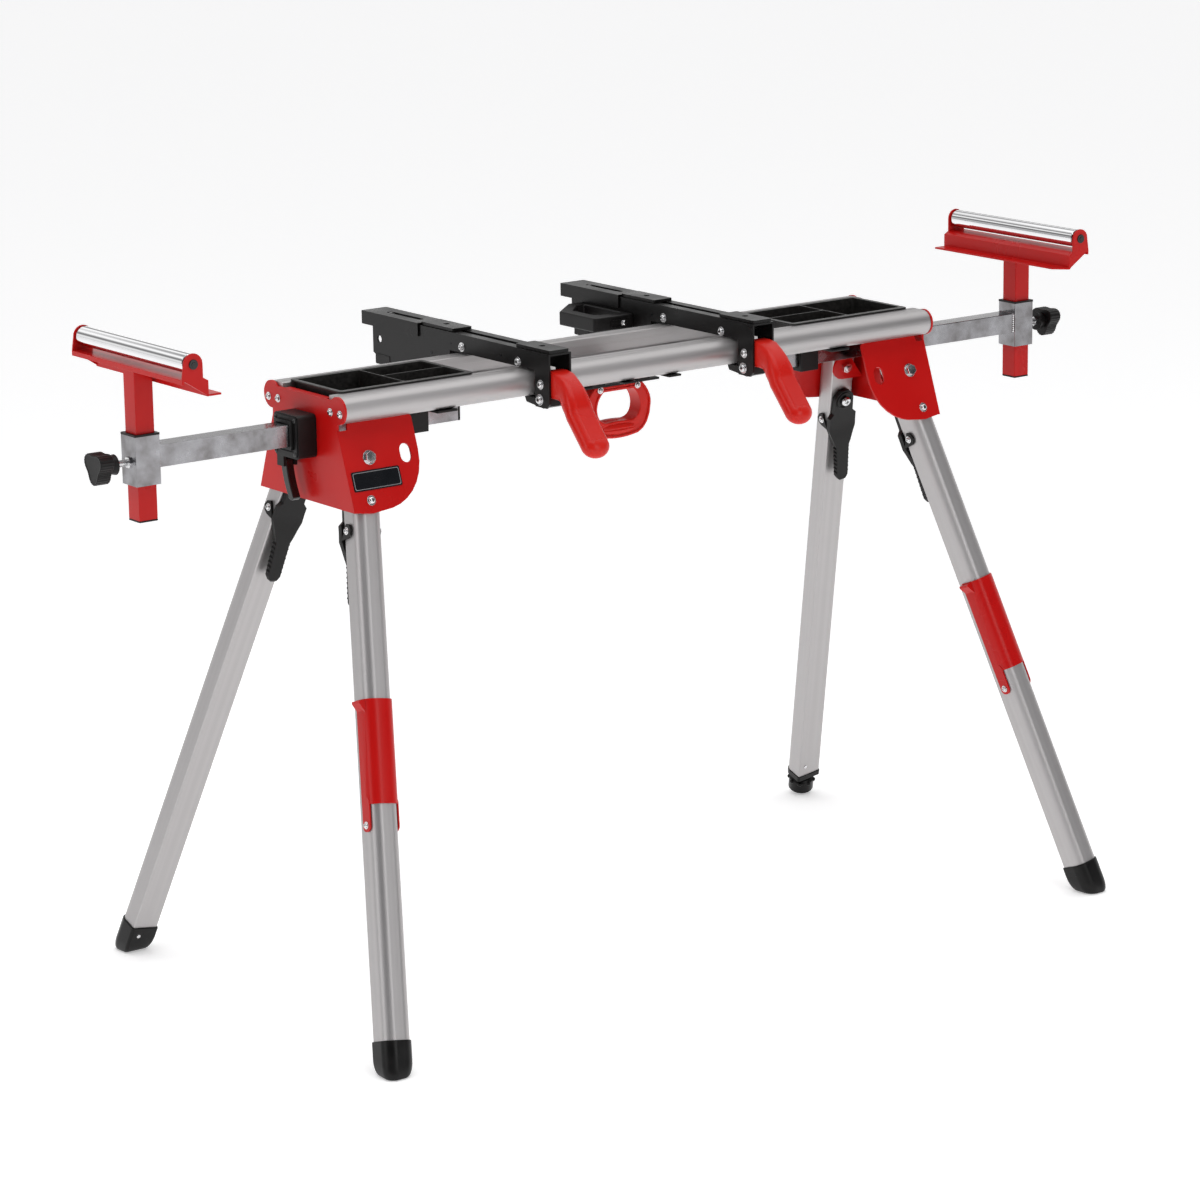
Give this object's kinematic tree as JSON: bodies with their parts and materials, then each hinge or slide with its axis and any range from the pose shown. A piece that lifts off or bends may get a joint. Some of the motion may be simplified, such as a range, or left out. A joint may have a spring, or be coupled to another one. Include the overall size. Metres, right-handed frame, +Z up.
{
  "type": "mitre saw stand",
  "caption": "Folding mitre saw stand with twin aluminium beams, splayed folding legs, telescopic arms with height-adjustable rollers, sliding saw brackets and parts trays.",
  "frame": {"origin": "on the floor, under the middle of the stand", "axes": "+X along the beams, to the right seen from the front; +Y to the rear, where the saw brackets reach out; +Z up"},
  "size_m": [1.5374, 0.6564, 0.866],
  "materials": {
    "red_paint": "satin powder coat on pressed steel",
    "black_steel": "fine satin black powder coat",
    "black_plastic": "lightly textured moulding",
    "rubber": "matt rubber",
    "red_plastic": "semi-gloss moulding",
    "aluminium": "satin anodised extrusion",
    "zinc": "bright zinc plate",
    "chrome": "polished chrome plate"
  },
  "bodies": {
    "stand": {"front_beam": "aluminium", "rear_beam": "aluminium", "carry_handle": "red_plastic", "handle_mount": "black_steel", "end_plate_left": "red_paint", "end_plate_right": "red_paint", "arm_housing_left": "black_plastic", "arm_housing_right": "black_plastic", "arm_guide_left": "black_plastic", "arm_guide_right": "black_plastic", "tray_left": "black_plastic", "tray_right": "black_plastic", "leg_pivot_bolt_front_left": "zinc", "leg_pivot_bolt_front_right": "zinc", "leg_pivot_bolt_rear_left": "zinc", "leg_pivot_bolt_rear_right": "zinc"},
    "arm_left": {"extension_arm_left": "zinc"},
    "post_left": {"roller_post_left": "red_paint", "roller_cradle_left": "red_paint"},
    "roller_left_drum": {"roller_left": "chrome"},
    "knob_left": {"clamp_knob_left": "black_plastic"},
    "cam_lever_left": {"arm_cam_lever_left": "black_plastic"},
    "arm_right": {"extension_arm_right": "zinc"},
    "post_right": {"roller_post_right": "red_paint", "roller_cradle_right": "red_paint"},
    "roller_right_drum": {"roller_right": "chrome"},
    "knob_right": {"clamp_knob_right": "black_plastic"},
    "cam_lever_right": {"arm_cam_lever_right": "black_plastic"},
    "front_left_leg": {"leg_front_left": "aluminium", "leg_shoe_front_left": "rubber"},
    "front_left_lever": {"leg_lock_lever_front_left": "black_plastic"},
    "front_left_pin": {"leg_lock_pin_front_left": "zinc"},
    "front_left_catch": {"fold_catch_front_left": "red_paint"},
    "front_right_leg": {"leg_front_right": "aluminium", "leg_shoe_front_right": "rubber"},
    "front_right_lever": {"leg_lock_lever_front_right": "black_plastic"},
    "front_right_pin": {"leg_lock_pin_front_right": "zinc"},
    "front_right_catch": {"fold_catch_front_right": "red_paint"},
    "rear_left_leg": {"leg_rear_left": "aluminium", "leg_shoe_rear_left": "rubber"},
    "rear_left_lever": {"leg_lock_lever_rear_left": "black_plastic"},
    "rear_left_pin": {"leg_lock_pin_rear_left": "zinc"},
    "rear_right_leg": {"leg_rear_right": "aluminium", "screw_foot_collar": "rubber"},
    "rear_right_lever": {"leg_lock_lever_rear_right": "black_plastic"},
    "rear_right_pin": {"leg_lock_pin_rear_right": "zinc"},
    "foot_wheel": {"screw_foot_wheel": "rubber"},
    "bracket_left": {"saw_bracket_left": "black_steel"},
    "cap_left": {"bracket_cap_left": "black_steel"},
    "front_block_left": {"block_front_left": "black_steel"},
    "rear_block_left": {"block_rear_left": "black_steel"},
    "clamp_left": {"clamp_lever_left": "red_plastic"},
    "jaw_left": {"clamp_jaw_left": "black_plastic"},
    "bracket_right": {"saw_bracket_right": "black_steel", "side_grip": "black_plastic"},
    "cap_right": {"bracket_cap_right": "black_steel"},
    "front_block_right": {"block_front_right": "black_steel"},
    "rear_block_right": {"block_rear_right": "black_steel"},
    "clamp_right": {"clamp_lever_right": "red_plastic"},
    "jaw_right": {"clamp_jaw_right": "black_plastic"}
  },
  "joints": [
    {"name": "arm_slide_left", "type": "slide", "parent": "stand", "child": "arm_left", "axis": [1, 0, 0], "range_m": [-0.04, 0.17]},
    {"name": "post_slide_left", "type": "slide", "parent": "arm_left", "child": "post_left", "axis": [0, 0, 1], "range_m": [-0.05, 0.04]},
    {"name": "roller_spin_left", "type": "hinge", "parent": "post_left", "child": "roller_left_drum", "pos_m": [-0.702, 0, 0.853], "axis": [0, 1, 0], "continuous": true},
    {"name": "knob_turn_left", "type": "hinge", "parent": "arm_left", "child": "knob_left", "pos_m": [-0.74, 0, 0.719], "axis": [-1, 0, 0], "continuous": true},
    {"name": "cam_lever_turn_left", "type": "hinge", "parent": "stand", "child": "cam_lever_left", "pos_m": [-0.485, 0.019, 0.687], "axis": [1, 0, 0], "range_deg": [0, 75]},
    {"name": "arm_slide_right", "type": "slide", "parent": "stand", "child": "arm_right", "axis": [-1, 0, 0], "range_m": [-0.04, 0.17]},
    {"name": "post_slide_right", "type": "slide", "parent": "arm_right", "child": "post_right", "axis": [0, 0, 1], "range_m": [-0.05, 0.04]},
    {"name": "roller_spin_right", "type": "hinge", "parent": "post_right", "child": "roller_right_drum", "pos_m": [0.702, 0, 0.853], "axis": [0, 1, 0], "continuous": true},
    {"name": "knob_turn_right", "type": "hinge", "parent": "arm_right", "child": "knob_right", "pos_m": [0.74, 0, 0.719], "axis": [1, 0, 0], "continuous": true},
    {"name": "cam_lever_turn_right", "type": "hinge", "parent": "stand", "child": "cam_lever_right", "pos_m": [0.485, -0.019, 0.687], "axis": [-1, 0, 0], "range_deg": [0, 75]},
    {"name": "leg_fold_front_left", "type": "hinge", "parent": "stand", "child": "front_left_leg", "pos_m": [-0.4335, -0.06602, 0.69271], "axis": [0, -0.9438, 0.3305], "range_deg": [0, 102.4]},
    {"name": "lock_lever_front_left", "type": "hinge", "parent": "front_left_leg", "child": "front_left_lever", "pos_m": [-0.44921, -0.08911, 0.61013], "axis": [-0.9836, 0.0597, 0.1704], "range_deg": [0, 6], "stiffness_Nm_per_rad": 2},
    {"name": "lock_pin_front_left", "type": "slide", "parent": "front_left_leg", "child": "front_left_pin", "axis": [0, 0.9438, -0.3305], "range_m": [0, 0.0036]},
    {"name": "catch_open_front_left", "type": "hinge", "parent": "front_left_leg", "child": "front_left_catch", "pos_m": [-0.51365, -0.21083, 0.28071], "axis": [-0.9836, 0.0597, 0.1704], "range_deg": [-100, 0]},
    {"name": "leg_fold_front_right", "type": "hinge", "parent": "stand", "child": "front_right_leg", "pos_m": [0.4335, -0.06602, 0.69271], "axis": [0, 0.9438, -0.3305], "range_deg": [0, 93.4]},
    {"name": "lock_lever_front_right", "type": "hinge", "parent": "front_right_leg", "child": "front_right_lever", "pos_m": [0.44921, -0.08911, 0.61013], "axis": [-0.9836, -0.0597, -0.1704], "range_deg": [0, 6], "stiffness_Nm_per_rad": 2},
    {"name": "lock_pin_front_right", "type": "slide", "parent": "front_right_leg", "child": "front_right_pin", "axis": [0, 0.9438, -0.3305], "range_m": [0, 0.0036]},
    {"name": "catch_open_front_right", "type": "hinge", "parent": "front_right_leg", "child": "front_right_catch", "pos_m": [0.51365, -0.21083, 0.28071], "axis": [-0.9836, -0.0597, -0.1704], "range_deg": [-100, 0]},
    {"name": "leg_fold_rear_left", "type": "hinge", "parent": "stand", "child": "rear_left_leg", "pos_m": [-0.4335, 0.06602, 0.69271], "axis": [0, -0.9438, -0.3305], "range_deg": [0, 102.4]},
    {"name": "lock_lever_rear_left", "type": "hinge", "parent": "rear_left_leg", "child": "rear_left_lever", "pos_m": [-0.44921, 0.08911, 0.61013], "axis": [0.9836, 0.0597, -0.1704], "range_deg": [0, 6], "stiffness_Nm_per_rad": 2},
    {"name": "lock_pin_rear_left", "type": "slide", "parent": "rear_left_leg", "child": "rear_left_pin", "axis": [0, -0.9438, -0.3305], "range_m": [0, 0.0036]},
    {"name": "leg_fold_rear_right", "type": "hinge", "parent": "stand", "child": "rear_right_leg", "pos_m": [0.4335, 0.06602, 0.69271], "axis": [0, 0.9438, 0.3305], "range_deg": [0, 93.4]},
    {"name": "lock_lever_rear_right", "type": "hinge", "parent": "rear_right_leg", "child": "rear_right_lever", "pos_m": [0.44921, 0.08911, 0.61013], "axis": [0.9836, -0.0597, 0.1704], "range_deg": [0, 6], "stiffness_Nm_per_rad": 2},
    {"name": "lock_pin_rear_right", "type": "slide", "parent": "rear_right_leg", "child": "rear_right_pin", "axis": [0, -0.9438, -0.3305], "range_m": [0, 0.0036]},
    {"name": "foot_wheel_turn", "type": "hinge", "parent": "rear_right_leg", "child": "foot_wheel", "pos_m": [0.56347, 0.30008, 0.02434], "axis": [-0.1805, -0.3251, 0.9283], "continuous": true},
    {"name": "bracket_slide_left", "type": "slide", "parent": "stand", "child": "bracket_left", "axis": [1, 0, 0], "range_m": [-0.06, 0.08]},
    {"name": "cap_slide_left", "type": "slide", "parent": "bracket_left", "child": "cap_left", "axis": [0, 1, 0], "range_m": [0, 0.07]},
    {"name": "front_block_slide_left", "type": "slide", "parent": "bracket_left", "child": "front_block_left", "axis": [0, 1, 0], "range_m": [0, 0.06]},
    {"name": "rear_block_slide_left", "type": "slide", "parent": "bracket_left", "child": "rear_block_left", "axis": [0, 1, 0], "range_m": [-0.06, 0]},
    {"name": "clamp_lever_lift_left", "type": "hinge", "parent": "bracket_left", "child": "clamp_left", "pos_m": [-0.171, -0.11, 0.762], "axis": [1, 0, 0], "range_deg": [-60, 0]},
    {"name": "clamp_jaw_drop_left", "type": "slide", "parent": "bracket_left", "child": "jaw_left", "axis": [0, 0, 1], "range_m": [-0.005, 0]},
    {"name": "bracket_slide_right", "type": "slide", "parent": "stand", "child": "bracket_right", "axis": [1, 0, 0], "range_m": [-0.08, 0.06]},
    {"name": "cap_slide_right", "type": "slide", "parent": "bracket_right", "child": "cap_right", "axis": [0, 1, 0], "range_m": [0, 0.07]},
    {"name": "front_block_slide_right", "type": "slide", "parent": "bracket_right", "child": "front_block_right", "axis": [0, 1, 0], "range_m": [0, 0.06]},
    {"name": "rear_block_slide_right", "type": "slide", "parent": "bracket_right", "child": "rear_block_right", "axis": [0, 1, 0], "range_m": [-0.06, 0]},
    {"name": "clamp_lever_lift_right", "type": "hinge", "parent": "bracket_right", "child": "clamp_right", "pos_m": [0.153, -0.11, 0.762], "axis": [1, 0, 0], "range_deg": [-60, 0]},
    {"name": "clamp_jaw_drop_right", "type": "slide", "parent": "bracket_right", "child": "jaw_right", "axis": [0, 0, 1], "range_m": [-0.005, 0]}
  ],
  "couplings": [
    {"joint": "lock_pin_front_left", "follows": "lock_lever_front_left", "m_per_rad": 0.034},
    {"joint": "lock_pin_front_right", "follows": "lock_lever_front_right", "m_per_rad": 0.034},
    {"joint": "lock_pin_rear_left", "follows": "lock_lever_rear_left", "m_per_rad": 0.034},
    {"joint": "lock_pin_rear_right", "follows": "lock_lever_rear_right", "m_per_rad": 0.034},
    {"joint": "clamp_jaw_drop_left", "follows": "clamp_lever_lift_left", "m_per_rad": 0.0047},
    {"joint": "clamp_jaw_drop_right", "follows": "clamp_lever_lift_right", "m_per_rad": 0.0047}
  ]
}
